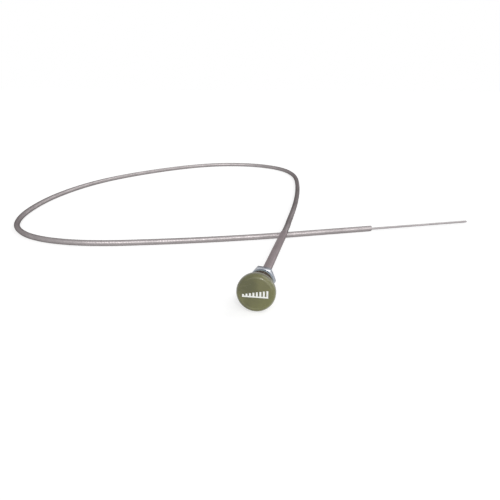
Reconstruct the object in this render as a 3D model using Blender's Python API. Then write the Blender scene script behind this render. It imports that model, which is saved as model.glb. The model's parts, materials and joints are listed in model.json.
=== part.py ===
"""Push-pull throttle control with a free conduit, for Blender 4.5 (blender --background --python part.py).

A moulded knob on a pull rod, a threaded bushing with its lock washer and nut, a steel barrel, and a
close-wound conduit that carries the control wire to a bare cut end.

Metres, +Z up. The control lies on a table at Z = 0. In plan its barrel runs along +Y with the knob at
the -Y end. The knob's rim rests on the table, and at the other end the conduit, just after it leaves
the barrel, rides over its own far stretch, so the barrel dips a little to the rear.
The origin is on the table, under the middle of the knob, bushing and barrel taken together.
"""

import math

import bmesh
import bpy
import numpy as np
from mathutils import Vector

# Clearances between neighbouring pieces
SEAT_GAP = 0.0003
SLIDE_GAP = 0.00025
INLAY_GAP = 0.0001

# Knob, with distances along the axis counted from its widest ring
KNOB_RADIUS = 0.0127
KNOB_FACE_RADIUS = 0.0102
KNOB_FACE_AHEAD = 0.0040
KNOB_BAND = 0.0010
KNOB_SHOULDER = 0.0030
KNOB_SHOULDER_SHARE = 0.25
KNOB_TAPER = 0.0095
KNOB_NECK_RADIUS = 0.0062
KNOB_LENGTH_BEHIND = 0.0170

# White mark on the knob's face: a baseline with rising bars
MARK_WIDTH = 0.0166
MARK_HEIGHT = 0.0049
MARK_FIRST_BAR = 0.0019
MARK_BASELINE = 0.0009
MARK_BARS = 8
MARK_BAR_TO_GAP = 0.85
MARK_DEPTH = 0.0006

# Threaded insert moulded into the knob's neck
INSERT_RADIUS = 0.0038
INSERT_LENGTH = 0.0100
INSERT_GROOVE_WIDTH = 0.0012
INSERT_GROOVE_DEPTH = 0.0005

# Pull rod and its stop collar, which ends the travel against the bushing's shoulder
ROD_RADIUS = 0.0020
ROD_TIP_BEYOND_INSERT = 0.0012
COLLAR_RADIUS = 0.0025
COLLAR_LENGTH = 0.0060
TRAVEL = 0.0500
CRIMP_DEPTH = 0.0100

# Control wire
WIRE_RADIUS = 0.0010
WIRE_LOW_IN_BORE = 0.00035
WIRE_EXPOSED = 0.1050
WIRE_TIP_INSIDE = 0.0250
WIRE_TIP_CHAMFER = 0.0002

# Bushing
FLANGE_RADIUS = 0.00875
FLANGE_THICKNESS = 0.0015
FLANGE_CHAMFER = 0.0003
THREAD_RADIUS = 0.00555
SHOULDER_THICKNESS = 0.0020

# Panel gap, lock washer and nut
PANEL_GAP = 0.0023
WASHER_THICKNESS = 0.0007
WASHER_RADIUS = 0.0080
WASHER_RING_WIDTH = 0.0012
WASHER_TEETH = 12
WASHER_STEPS_PER_TOOTH = 8
NUT_ACROSS_FLATS = 0.015875
NUT_THICKNESS = 0.0052
NUT_CHAMFER_ANGLE = math.radians(30)
NUT_CHAMFER_SHARE = 0.97
NUT_TURN = math.radians(52)

# Barrel, with its rear end counted from the knob's widest ring
BARREL_RADIUS = 0.003175
BARREL_END = 0.1465
BARREL_LIP_LENGTH = 0.0020
BARREL_LIP_DROP = 0.0002

# Conduit
CONDUIT_RADIUS = 0.0026
CONDUIT_BORE_RADIUS = 0.0017
CONDUIT_IN_BARREL = 0.0120
CONDUIT_FREE_CLEARANCE = 0.00015
CONDUIT_POINTS = 75

# Where the far stretch passes under the barrel's axis, and the straight that ends the conduit
CROSSING_Y = 0.0909
STRAIGHT_START = (0.0048, 0.0930)
STRAIGHT_HEADING = math.radians(25.0)
STRAIGHT_LENGTH = 0.0800

# Route of the conduit from the crossing to the straight, in plan, with the lift above the table
ROUTE = (
    (-0.0009, 0.1280, 0.0040),
    (-0.0019, 0.1680, 0.0025),
    (-0.0033, 0.2080, 0.0012),
    (-0.0054, 0.2480, 0.0003),
    (-0.0083, 0.2880, 0.0),
    (-0.0124, 0.3280, 0.0),
    (-0.0184, 0.3685, 0.0),
    (-0.0230, 0.3885, 0.0),
    (-0.0295, 0.4075, 0.0),
    (-0.0380, 0.4255, 0.0),
    (-0.0490, 0.4410, 0.0),
    (-0.0630, 0.4540, 0.0),
    (-0.0795, 0.4635, 0.0),
    (-0.0975, 0.4695, 0.0),
    (-0.1170, 0.4710, 0.0),
    (-0.1365, 0.4690, 0.0),
    (-0.1550, 0.4630, 0.0),
    (-0.1725, 0.4535, 0.0),
    (-0.1880, 0.4415, 0.0),
    (-0.2020, 0.4280, 0.0),
    (-0.2155, 0.4125, 0.0),
    (-0.2395, 0.3795, 0.0),
    (-0.2600, 0.3445, 0.0),
    (-0.2760, 0.3075, 0.0),
    (-0.2860, 0.2695, 0.0),
    (-0.2910, 0.2300, 0.0),
    (-0.2915, 0.1900, 0.0),
    (-0.2870, 0.1500, 0.0),
    (-0.2775, 0.1105, 0.0),
    (-0.2700, 0.0915, 0.0),
    (-0.2605, 0.0745, 0.0),
    (-0.2475, 0.0595, 0.0),
    (-0.2320, 0.0475, 0.0),
    (-0.2140, 0.0395, 0.0),
    (-0.1945, 0.0355, 0.0),
    (-0.1745, 0.0350, 0.0),
    (-0.1545, 0.0375, 0.0),
    (-0.1160, 0.0475, 0.0),
    (-0.0775, 0.0600, 0.0),
    (-0.0400, 0.0740, 0.0),
)

# How finely round things are faceted
ROUND_SEGMENTS = 48
SMALL_SEGMENTS = 24
EDGE_STEPS = 6
CURVE_STEPS = 24
STRAIGHT_STEPS = 5
CONDUIT_BEVEL_STEPS = 4
WIRE_BEVEL_STEPS = 2
SHARP_ANGLE = math.radians(32)

# Places along the axis, worked out from the sizes above
FLANGE_FRONT = KNOB_LENGTH_BEHIND + SEAT_GAP
FLANGE_BACK = FLANGE_FRONT + FLANGE_THICKNESS
WASHER_FRONT = FLANGE_BACK + PANEL_GAP
NUT_FRONT = WASHER_FRONT + WASHER_THICKNESS + SEAT_GAP
NUT_BACK = NUT_FRONT + NUT_THICKNESS
THREAD_END = NUT_BACK - SEAT_GAP
BARREL_FRONT = FLANGE_FRONT + SHOULDER_THICKNESS + SEAT_GAP
BARREL_BORE_RADIUS = CONDUIT_RADIUS + CONDUIT_FREE_CLEARANCE
COLLAR_FRONT = BARREL_FRONT + TRAVEL + SEAT_GAP
COLLAR_BACK = COLLAR_FRONT + COLLAR_LENGTH
CONDUIT_START = BARREL_END - CONDUIT_IN_BARREL
INSERT_BACK = KNOB_LENGTH_BEHIND - SEAT_GAP
INSERT_FRONT = INSERT_BACK - INSERT_LENGTH
ROD_FRONT = INSERT_FRONT - ROD_TIP_BEYOND_INSERT


def knob_outside():
    """The knob's outer profile from the middle of its face to the end of its neck, as (along, radius)."""
    edge_depth = KNOB_FACE_AHEAD - KNOB_BAND / 2
    edge_width = KNOB_RADIUS - KNOB_FACE_RADIUS
    profile = [(-KNOB_FACE_AHEAD, 0.0)]
    for step in range(EDGE_STEPS + 1):
        angle = math.pi / 2 * step / EDGE_STEPS
        along = -KNOB_FACE_AHEAD + edge_depth * (1 - math.cos(angle))
        profile.append((along, KNOB_FACE_RADIUS + edge_width * math.sin(angle)))
    back_rim = KNOB_BAND / 2
    profile.append((back_rim, KNOB_RADIUS))
    shoulder_drop = (KNOB_RADIUS - KNOB_NECK_RADIUS) * KNOB_SHOULDER_SHARE
    for step in range(1, EDGE_STEPS):
        angle = math.pi / 2 * step / EDGE_STEPS
        along = back_rim + KNOB_SHOULDER * math.sin(angle)
        profile.append((along, KNOB_RADIUS - shoulder_drop * (1 - math.cos(angle))))
    profile.append((back_rim + KNOB_SHOULDER + KNOB_TAPER, KNOB_NECK_RADIUS))
    profile.append((KNOB_LENGTH_BEHIND, KNOB_NECK_RADIUS))
    return profile


def resting_pose():
    """The axis's dip to the rear, its height and its Y at the knob's widest ring."""
    knob_y = -(BARREL_END - KNOB_FACE_AHEAD) / 2
    ride_height = 3 * CONDUIT_RADIUS + SEAT_GAP
    dip = math.asin((KNOB_RADIUS - ride_height) / (CROSSING_Y - knob_y))
    rings = knob_outside()
    height = max(along * math.sin(dip) + radius * math.cos(dip) for along, radius in rings)
    front = min(along * math.cos(dip) - radius * math.sin(dip) for along, radius in rings)
    rear = BARREL_END * math.cos(dip) + (BARREL_RADIUS - BARREL_LIP_DROP) * math.sin(dip)
    return dip, height, -(front + rear) / 2


DIP, AXIS_HEIGHT, KNOB_Y = resting_pose()


def on_axis(along):
    """World point on the barrel's axis, at a distance behind the knob's widest ring."""
    return Vector((0.0, KNOB_Y + along * math.cos(DIP), AXIS_HEIGHT - along * math.sin(DIP)))


def clear_scene():
    for old in list(bpy.data.objects):
        bpy.data.objects.remove(old)


def finish_material(name, colour, metallic, roughness):
    material = bpy.data.materials.new(name)
    material.use_nodes = True
    shader = material.node_tree.nodes["Principled BSDF"]
    shader.inputs["Base Color"].default_value = (*colour, 1.0)
    shader.inputs["Metallic"].default_value = metallic
    shader.inputs["Roughness"].default_value = roughness
    return material


def axis_empty(name, location, rotation):
    empty = bpy.data.objects.new(name, None)
    empty.location = location
    empty.rotation_euler = rotation
    bpy.context.collection.objects.link(empty)
    return empty


def piece_from(name, bm, parent, location=(0, 0, 0), material=None):
    """A closed mesh object from bm, its faces turned outward, rounded where it is round."""
    bmesh.ops.recalc_face_normals(bm, faces=bm.faces)
    mesh = bpy.data.meshes.new(name)
    bm.to_mesh(mesh)
    bm.free()
    mesh.shade_smooth()
    mesh.set_sharp_from_angle(angle=SHARP_ANGLE)
    piece = bpy.data.objects.new(name, mesh)
    piece.parent = parent
    piece.location = location
    bpy.context.collection.objects.link(piece)
    if material:
        mesh.materials.append(material)
    return piece


def turned(profile, segments=ROUND_SEGMENTS):
    """Solid turned about +Y from (along, radius) points; a profile off the axis closes into a ring."""
    bm = bmesh.new()
    rings = []
    for along, radius in profile:
        if radius == 0:
            rings.append([bm.verts.new((0, along, 0))])
            continue
        ring = []
        for step in range(segments):
            angle = math.tau * step / segments
            ring.append(bm.verts.new((radius * math.cos(angle), along, radius * math.sin(angle))))
        rings.append(ring)
    pairs = list(zip(rings, rings[1:]))
    if len(rings[0]) > 1:
        pairs.append((rings[-1], rings[0]))
    for first, second in pairs:
        for step in range(segments):
            after = (step + 1) % segments
            if len(first) == 1:
                bm.faces.new((first[0], second[step], second[after]))
            elif len(second) == 1:
                bm.faces.new((first[step], first[after], second[0]))
            else:
                bm.faces.new((first[step], first[after], second[after], second[step]))
    return bm


def plate(outline, front, back):
    """Flat piece with an (x, z) outline, from front to back along Y."""
    bm = bmesh.new()
    bm.faces.new([bm.verts.new((x, front, z)) for x, z in outline])
    grown = bmesh.ops.extrude_face_region(bm, geom=bm.faces[:])
    moved = [item for item in grown["geom"] if isinstance(item, bmesh.types.BMVert)]
    bmesh.ops.translate(bm, verts=moved, vec=(0, back - front, 0))
    return bm


def use_as_tool(piece):
    piece.hide_render = True
    piece.display_type = "WIRE"


def combine(piece, tool, operation):
    use_as_tool(tool)
    cut = piece.modifiers.new(operation.title(), "BOOLEAN")
    cut.operation = operation
    cut.object = tool
    cut.solver = "EXACT"


def mark_outline(grow=0.0):
    """A baseline with bars that rise to the right, grown outward on every side."""
    bar_width = MARK_WIDTH / (MARK_BARS + (MARK_BARS - 1) * MARK_BAR_TO_GAP)
    pitch = bar_width * (1 + MARK_BAR_TO_GAP)
    left = -MARK_WIDTH / 2
    bottom = -MARK_HEIGHT / 2
    baseline_top = bottom + MARK_BASELINE + grow
    outline = [(left - grow, bottom - grow), (-left + grow, bottom - grow)]
    for bar in reversed(range(MARK_BARS)):
        bar_left = left + bar * pitch - grow
        bar_right = left + bar * pitch + bar_width + grow
        rise = (MARK_HEIGHT - MARK_FIRST_BAR) * bar / (MARK_BARS - 1)
        top = bottom + MARK_FIRST_BAR + rise + grow
        if bar < MARK_BARS - 1:
            outline.append((bar_right, baseline_top))
        outline += [(bar_right, top), (bar_left, top)]
        if bar > 0:
            outline.append((bar_left, baseline_top))
    return outline


def build_knob(axis):
    pocket_radius = INSERT_RADIUS + SEAT_GAP
    rod_hole = ROD_RADIUS + SEAT_GAP
    profile = knob_outside() + [
        (KNOB_LENGTH_BEHIND, pocket_radius),
        (INSERT_FRONT - SEAT_GAP, pocket_radius),
        (INSERT_FRONT - SEAT_GAP, rod_hole),
        (ROD_FRONT - SEAT_GAP, rod_hole),
        (ROD_FRONT - SEAT_GAP, 0.0),
    ]
    olive = finish_material("knob_olive", (0.165, 0.165, 0.062), 0.0, 0.25)
    knob = piece_from("knob", turned(profile), axis, material=olive)
    face = -KNOB_FACE_AHEAD
    pocket = plate(mark_outline(INLAY_GAP), face - MARK_DEPTH, face + MARK_DEPTH + INLAY_GAP)
    combine(knob, piece_from("mark_pocket", pocket, axis), "DIFFERENCE")
    white = finish_material("mark_white", (0.85, 0.86, 0.82), 0.0, 0.4)
    mark = plate(mark_outline(), 0.0, MARK_DEPTH)
    piece_from("knob_mark", mark, axis, (0, face, 0), white)


def build_insert(axis):
    """Brass insert with two grooves that key it into the moulding."""
    groove_floor = INSERT_RADIUS - INSERT_GROOVE_DEPTH
    bore = ROD_RADIUS + SEAT_GAP / 2
    profile = [(0.0, bore), (0.0, INSERT_RADIUS)]
    for middle in (INSERT_LENGTH / 3, INSERT_LENGTH * 2 / 3):
        near = middle - INSERT_GROOVE_WIDTH / 2
        far = middle + INSERT_GROOVE_WIDTH / 2
        profile += [(near, INSERT_RADIUS), (near, groove_floor), (far, groove_floor), (far, INSERT_RADIUS)]
    profile += [(INSERT_LENGTH, INSERT_RADIUS), (INSERT_LENGTH, bore)]
    brass = finish_material("insert_brass", (0.62, 0.45, 0.18), 1.0, 0.35)
    piece_from("knob_insert", turned(profile, SMALL_SEGMENTS), axis, (0, INSERT_FRONT, 0), brass)


def build_pull_rod(axis):
    """Solid rod with a stop collar at its rear, bored there for the wire."""
    collar_front = COLLAR_FRONT - ROD_FRONT
    rear = COLLAR_BACK - ROD_FRONT
    wire_hole = WIRE_RADIUS + SEAT_GAP / 2
    profile = [
        (0.0, 0.0),
        (0.0, ROD_RADIUS - SEAT_GAP),
        (SEAT_GAP, ROD_RADIUS),
        (collar_front, ROD_RADIUS),
        (collar_front, COLLAR_RADIUS),
        (rear, COLLAR_RADIUS),
        (rear, wire_hole),
        (rear - CRIMP_DEPTH, wire_hole),
        (rear - CRIMP_DEPTH, 0.0),
    ]
    steel = finish_material("rod_steel", (0.46, 0.45, 0.44), 1.0, 0.3)
    piece_from("pull_rod", turned(profile, SMALL_SEGMENTS), axis, (0, ROD_FRONT, 0), steel)


def build_front_wire(axis, wire_steel):
    """The wire from its crimp in the rod to the start of the conduit."""
    front = COLLAR_BACK - CRIMP_DEPTH + SEAT_GAP
    length = CONDUIT_START - SEAT_GAP - front
    profile = [(0.0, 0.0), (0.0, WIRE_RADIUS), (length, WIRE_RADIUS), (length, 0.0)]
    piece_from("control_wire_front", turned(profile, SMALL_SEGMENTS), axis, (0, front, 0), wire_steel)


def build_bushing(axis):
    """Flanged bushing: rod hole through the shoulder, barrel socket behind it."""
    rod_hole = ROD_RADIUS + SLIDE_GAP
    socket = BARREL_RADIUS + SEAT_GAP
    length = THREAD_END - FLANGE_FRONT
    chamfer = FLANGE_CHAMFER
    profile = [
        (0.0, rod_hole),
        (0.0, FLANGE_RADIUS - chamfer),
        (chamfer, FLANGE_RADIUS),
        (FLANGE_THICKNESS, FLANGE_RADIUS),
        (FLANGE_THICKNESS, THREAD_RADIUS),
        (length - chamfer, THREAD_RADIUS),
        (length, THREAD_RADIUS - chamfer),
        (length, socket),
        (SHOULDER_THICKNESS, socket),
        (SHOULDER_THICKNESS, rod_hole),
    ]
    zinc = finish_material("bushing_zinc", (0.60, 0.62, 0.66), 1.0, 0.25)
    piece_from("bushing", turned(profile), axis, (0, FLANGE_FRONT, 0), zinc)


def build_lock_washer(axis):
    """Internal-tooth washer: a ring with short teeth that reach in to the thread."""
    ring_inner = WASHER_RADIUS - WASHER_RING_WIDTH
    tooth_tip = THREAD_RADIUS + SEAT_GAP
    samples = WASHER_TEETH * WASHER_STEPS_PER_TOOTH
    bm = bmesh.new()
    loops = []
    for along, outside in ((0.0, True), (WASHER_THICKNESS, True), (WASHER_THICKNESS, False), (0.0, False)):
        loop = []
        for sample in range(samples):
            angle = math.tau * sample / samples
            on_tooth = sample % WASHER_STEPS_PER_TOOTH < WASHER_STEPS_PER_TOOTH / 2
            inner = tooth_tip if on_tooth else ring_inner
            radius = WASHER_RADIUS if outside else inner
            loop.append(bm.verts.new((radius * math.cos(angle), along, radius * math.sin(angle))))
        loops.append(loop)
    for first, second in zip(loops, loops[1:] + loops[:1]):
        for sample in range(samples):
            after = (sample + 1) % samples
            bm.faces.new((first[sample], first[after], second[after], second[sample]))
    spring_steel = finish_material("washer_steel", (0.35, 0.37, 0.42), 1.0, 0.35)
    piece_from("lock_washer", bm, axis, (0, WASHER_FRONT, 0), spring_steel)


def build_mounting_nut(axis):
    """Hexagon cut from a turned blank with chamfered ends and the thread's bore."""
    corner_radius = NUT_ACROSS_FLATS / 2 / math.cos(math.pi / 6)
    chamfer_radius = NUT_ACROSS_FLATS / 2 * NUT_CHAMFER_SHARE
    chamfer_depth = (corner_radius - chamfer_radius) * math.tan(NUT_CHAMFER_ANGLE)
    bore = THREAD_RADIUS + SEAT_GAP
    corners = []
    for corner in range(6):
        angle = NUT_TURN + math.tau * corner / 6
        corners.append((corner_radius * math.cos(angle), corner_radius * math.sin(angle)))
    over = SEAT_GAP
    hexagon = plate(corners, -over, NUT_THICKNESS + over)
    profile = [
        (0.0, bore),
        (0.0, chamfer_radius),
        (chamfer_depth, corner_radius),
        (NUT_THICKNESS - chamfer_depth, corner_radius),
        (NUT_THICKNESS, chamfer_radius),
        (NUT_THICKNESS, bore),
    ]
    zinc = finish_material("nut_zinc", (0.72, 0.74, 0.78), 1.0, 0.22)
    nut = piece_from("mounting_nut", hexagon, axis, (0, NUT_FRONT, 0), zinc)
    blank = piece_from("nut_blank", turned(profile), axis, (0, NUT_FRONT, 0))
    combine(nut, blank, "INTERSECT")


def build_barrel(axis):
    """Steel tube, its rear lip swaged down onto the conduit."""
    length = BARREL_END - BARREL_FRONT
    lip_start = length - BARREL_LIP_LENGTH
    profile = [
        (0.0, BARREL_BORE_RADIUS),
        (0.0, BARREL_RADIUS),
        (lip_start, BARREL_RADIUS),
        (length, BARREL_RADIUS - BARREL_LIP_DROP),
        (length, BARREL_BORE_RADIUS),
    ]
    steel = finish_material("barrel_steel", (0.30, 0.27, 0.27), 1.0, 0.42)
    piece_from("barrel", turned(profile), axis, (0, BARREL_FRONT, 0), steel)


def smooth_curve(points, first_heading, last_heading):
    """Dense points of a cubic through every given point, with a set heading at each end."""
    points = [Vector(point) for point in points]
    chords = [(after - before).length for before, after in zip(points, points[1:])]
    slopes = [Vector(first_heading)]
    for index in range(1, len(points) - 1):
        before = (points[index] - points[index - 1]) / chords[index - 1]
        after = (points[index + 1] - points[index]) / chords[index]
        share = chords[index - 1] / (chords[index - 1] + chords[index])
        slopes.append(before.lerp(after, share))
    slopes.append(Vector(last_heading))
    dense = [points[0]]
    for index, chord in enumerate(chords):
        start, end = points[index], points[index + 1]
        for step in range(1, CURVE_STEPS + 1):
            t = step / CURVE_STEPS
            place = start * (2 * t**3 - 3 * t**2 + 1) + end * (3 * t**2 - 2 * t**3)
            place += slopes[index] * chord * (t**3 - 2 * t**2 + t)
            place += slopes[index + 1] * chord * (t**3 - t**2)
            dense.append(place)
    return dense


def evenly(points, count):
    """That many points at even distances along a polyline, its two ends kept."""
    line = np.array([tuple(point) for point in points])
    steps = np.linalg.norm(np.diff(line, axis=0), axis=1)
    along = np.concatenate([[0.0], np.cumsum(steps)])
    wanted = np.linspace(0.0, along[-1], count)
    return [Vector([np.interp(place, along, line[:, k]) for k in range(3)]) for place in wanted]


def straight_heading():
    return Vector((math.cos(STRAIGHT_HEADING), math.sin(STRAIGHT_HEADING), 0.0))


def conduit_end():
    start = Vector((*STRAIGHT_START, CONDUIT_RADIUS))
    return start + straight_heading() * STRAIGHT_LENGTH


def curved_stretch():
    """Centreline from the conduit's seat in the barrel to the start of its last straight."""
    past_crossing = (CROSSING_Y - KNOB_Y) / math.cos(DIP) + 3 * CONDUIT_RADIUS
    points = [on_axis(CONDUIT_START), on_axis(BARREL_END), on_axis(past_crossing)]
    points += [Vector((x, y, CONDUIT_RADIUS + lift)) for x, y, lift in ROUTE]
    points.append(Vector((*STRAIGHT_START, CONDUIT_RADIUS)))
    leaving = (on_axis(1.0) - on_axis(0.0)).normalized()
    line = evenly(smooth_curve(points, leaving, straight_heading()), CONDUIT_POINTS)
    for point in line:
        point.z = max(point.z, CONDUIT_RADIUS)
    return line


def swept(name, points, radius, resolution, caps, material):
    """Round tube along a polyline."""
    curve = bpy.data.curves.new(name, "CURVE")
    curve.dimensions = "3D"
    curve.twist_mode = "Z_UP"
    curve.bevel_depth = radius
    curve.bevel_resolution = resolution
    curve.use_fill_caps = caps
    spline = curve.splines.new("POLY")
    spline.points.add(len(points) - 1)
    for place, point in zip(spline.points, points):
        place.co = (*point, 1.0)
    spline.use_smooth = True
    curve.materials.append(material)
    tube = bpy.data.objects.new(name, curve)
    bpy.context.collection.objects.link(tube)
    return tube


def build_conduit():
    """Close-wound casing, here a plain tube open at both ends so that the wire runs inside."""
    start = Vector((*STRAIGHT_START, CONDUIT_RADIUS))
    points = curved_stretch()
    for step in range(1, STRAIGHT_STEPS + 1):
        points.append(start + straight_heading() * STRAIGHT_LENGTH * step / STRAIGHT_STEPS)
    wound_steel = finish_material("conduit_steel", (0.42, 0.38, 0.38), 1.0, 0.4)
    conduit = swept("conduit", points, CONDUIT_RADIUS, CONDUIT_BEVEL_STEPS, False, wound_steel)
    wall = conduit.modifiers.new("Wall", "SOLIDIFY")
    wall.thickness = CONDUIT_RADIUS - CONDUIT_BORE_RADIUS
    wall.offset = -1.0


def build_wire_run(wire_steel):
    """The wire's long stretch in the conduit's curve, stopping clear of the sliding end's travel."""
    start = Vector((*STRAIGHT_START, CONDUIT_RADIUS))
    kept_clear = WIRE_TIP_INSIDE + TRAVEL + SEAT_GAP
    points = curved_stretch()
    points.append(start + straight_heading() * (STRAIGHT_LENGTH - kept_clear))
    swept("control_wire_run", points, WIRE_RADIUS, WIRE_BEVEL_STEPS, True, wire_steel)


def build_wire_end(wire_steel):
    """The straight end of the wire, part of it in the conduit, low in the bore as its weight leaves it."""
    end = conduit_end()
    end.z -= WIRE_LOW_IN_BORE
    slide = axis_empty("wire_end_axis", end, (0, 0, STRAIGHT_HEADING - math.pi / 2))
    tip = WIRE_RADIUS - WIRE_TIP_CHAMFER
    profile = [
        (-WIRE_TIP_INSIDE, 0.0),
        (-WIRE_TIP_INSIDE, WIRE_RADIUS),
        (WIRE_EXPOSED - WIRE_TIP_CHAMFER, WIRE_RADIUS),
        (WIRE_EXPOSED, tip),
        (WIRE_EXPOSED, 0.0),
    ]
    piece_from("control_wire_end", turned(profile, SMALL_SEGMENTS), slide, material=wire_steel)


def main():
    clear_scene()
    fixed_axis = axis_empty("barrel_axis", on_axis(0.0), (-DIP, 0, 0))
    pull_axis = axis_empty("throttle_pull_axis", on_axis(0.0), (-DIP, 0, 0))
    wire_steel = finish_material("wire_steel", (0.50, 0.48, 0.48), 1.0, 0.32)
    build_knob(pull_axis)
    build_insert(pull_axis)
    build_pull_rod(pull_axis)
    build_front_wire(pull_axis, wire_steel)
    build_bushing(fixed_axis)
    build_lock_washer(fixed_axis)
    build_mounting_nut(fixed_axis)
    build_barrel(fixed_axis)
    build_conduit()
    build_wire_run(wire_steel)
    build_wire_end(wire_steel)


main()
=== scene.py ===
"""Looks for a push-pull throttle control with a free conduit, for Blender 4.5.

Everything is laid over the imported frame, in metres and in the frame's own coordinates. Pieces that are
turned about the barrel's axis are modelled with X across, Y along the axis to the rear and Z up, with
Y = 0 on the flange's back face, and are put in place through the matrix AXIS.
"""

import json
import math

import bmesh
import bpy
from bpy.props import FloatProperty, FloatVectorProperty, IntProperty, PointerProperty
from mathutils import Matrix, Vector

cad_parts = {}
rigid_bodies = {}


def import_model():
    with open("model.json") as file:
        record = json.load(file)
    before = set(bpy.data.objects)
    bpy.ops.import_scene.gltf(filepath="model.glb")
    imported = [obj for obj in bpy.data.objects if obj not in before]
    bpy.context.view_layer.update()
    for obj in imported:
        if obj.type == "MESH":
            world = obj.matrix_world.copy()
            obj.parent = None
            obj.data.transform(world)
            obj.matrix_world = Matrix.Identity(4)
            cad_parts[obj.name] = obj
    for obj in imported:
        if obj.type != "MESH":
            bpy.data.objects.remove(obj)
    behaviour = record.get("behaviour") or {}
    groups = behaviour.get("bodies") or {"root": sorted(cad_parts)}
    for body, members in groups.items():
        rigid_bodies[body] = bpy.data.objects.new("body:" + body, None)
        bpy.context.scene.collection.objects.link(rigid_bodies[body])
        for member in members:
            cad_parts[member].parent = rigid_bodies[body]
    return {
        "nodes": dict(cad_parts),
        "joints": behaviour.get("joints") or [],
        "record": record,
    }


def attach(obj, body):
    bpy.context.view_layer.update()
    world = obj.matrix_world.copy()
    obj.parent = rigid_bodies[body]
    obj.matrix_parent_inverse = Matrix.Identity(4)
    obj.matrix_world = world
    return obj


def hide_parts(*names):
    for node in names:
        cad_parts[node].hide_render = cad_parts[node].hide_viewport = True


# Blender's own start objects go before the frame comes in
for start_object in list(bpy.data.objects):
    bpy.data.objects.remove(start_object)
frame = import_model()

bl_info = {
    "name": "Throttle control looks",
    "version": (1, 0, 0),
    "blender": (4, 5, 0),
    "location": "3D View > Sidebar > Throttle",
    "description": "Builds the visible pieces of a push-pull throttle control over its packed frame",
    "category": "Object",
}

# Knob's outer form, which repeats the CAD's, with distances along the axis from its widest ring
KNOB_RADIUS = 0.0127
KNOB_FACE_RADIUS = 0.0102
KNOB_FACE_AHEAD = 0.0040
KNOB_BEAD = 0.00018
KNOB_BEAD_WIDTH = 0.0005
KNOB_BAND = 0.0010
KNOB_SHOULDER = 0.0030
KNOB_SHOULDER_SHARE = 0.25
KNOB_TAPER = 0.0095
KNOB_NECK_RADIUS = 0.0062
KNOB_LENGTH_BEHIND = 0.0170
KNOB_CORNER = 0.0004
KNOB_EDGE_STEPS = 18
NECK_POCKET_RADIUS = 0.0041
NECK_POCKET_DEPTH = 0.0106
ROD_POCKET_RADIUS = 0.0023
ROD_POCKET_DEPTH = 0.0118

# Mark on the knob's face, which repeats the CAD's
MARK_WIDTH = 0.0166
MARK_HEIGHT = 0.0049
MARK_FIRST_BAR = 0.0019
MARK_BASELINE = 0.0009
MARK_BARS = 8
MARK_BAR_TO_GAP = 0.85
MARK_DEPTH = 0.0006
INLAY_GAP = 0.0001

# Bushing, and its thread: start, end, middle and height as shares of the ridge, width as one of the pitch
ROD_HOLE_RADIUS = 0.00225
THREAD_ROOT_RADIUS = 0.00482
THREAD_CREST_RADIUS = 0.00555
THREAD_FROM_FLANGE = 0.4
THREAD_FROM_REAR = 0.6
THREAD_MIDDLE = 0.1
THREAD_HEIGHT = 1.8
THREAD_WIDTH = 0.95
THREAD_STEPS_A_TURN = 48
THREAD_SIDES = 8
SOCKET_RADIUS = 0.003475
SOCKET_FLOOR = 0.0005
BUSHING_CORNER = 0.00022

# Washer, its teeth, and nut
WASHER_RING_WIDTH = 0.0012
WASHER_CORNER = 0.00015
WASHER_TEETH = 12
TOOTH_WIDTH = 0.0019
TOOTH_THICKNESS = 0.0005
TOOTH_IN_RING = 0.0003
TOOTH_TWIST = math.radians(14)
NUT_TURN = math.radians(52)
NUT_BORE_RADIUS = 0.00585
NUT_COUNTERSINK = 0.0005
NUT_CHAMFER_ANGLE = math.radians(30)
NUT_CHAMFER_SHARE = 0.97
NUT_BLANK_EXTRA = 0.0003
NUT_EDGE = 0.00008

# Barrel and pull rod
BARREL_BORE_RADIUS = 0.00275
BARREL_LIP_LENGTH = 0.0020
BARREL_LIP_DROP = 0.0002
BARREL_CORNER = 0.00018
COLLAR_LENGTH = 0.0060
ROD_RADIUS = 0.0020
ROD_CORNER = 0.00025
ROD_BORE_SHARE = 1.15

# Conduit's winding
COIL_WIRE_THICKNESS = 0.0010
COIL_WIRE_SHARE = 0.98
COIL_WIRE_FLATNESS = 1.6
COIL_WIRE_SIDES = 6

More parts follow.
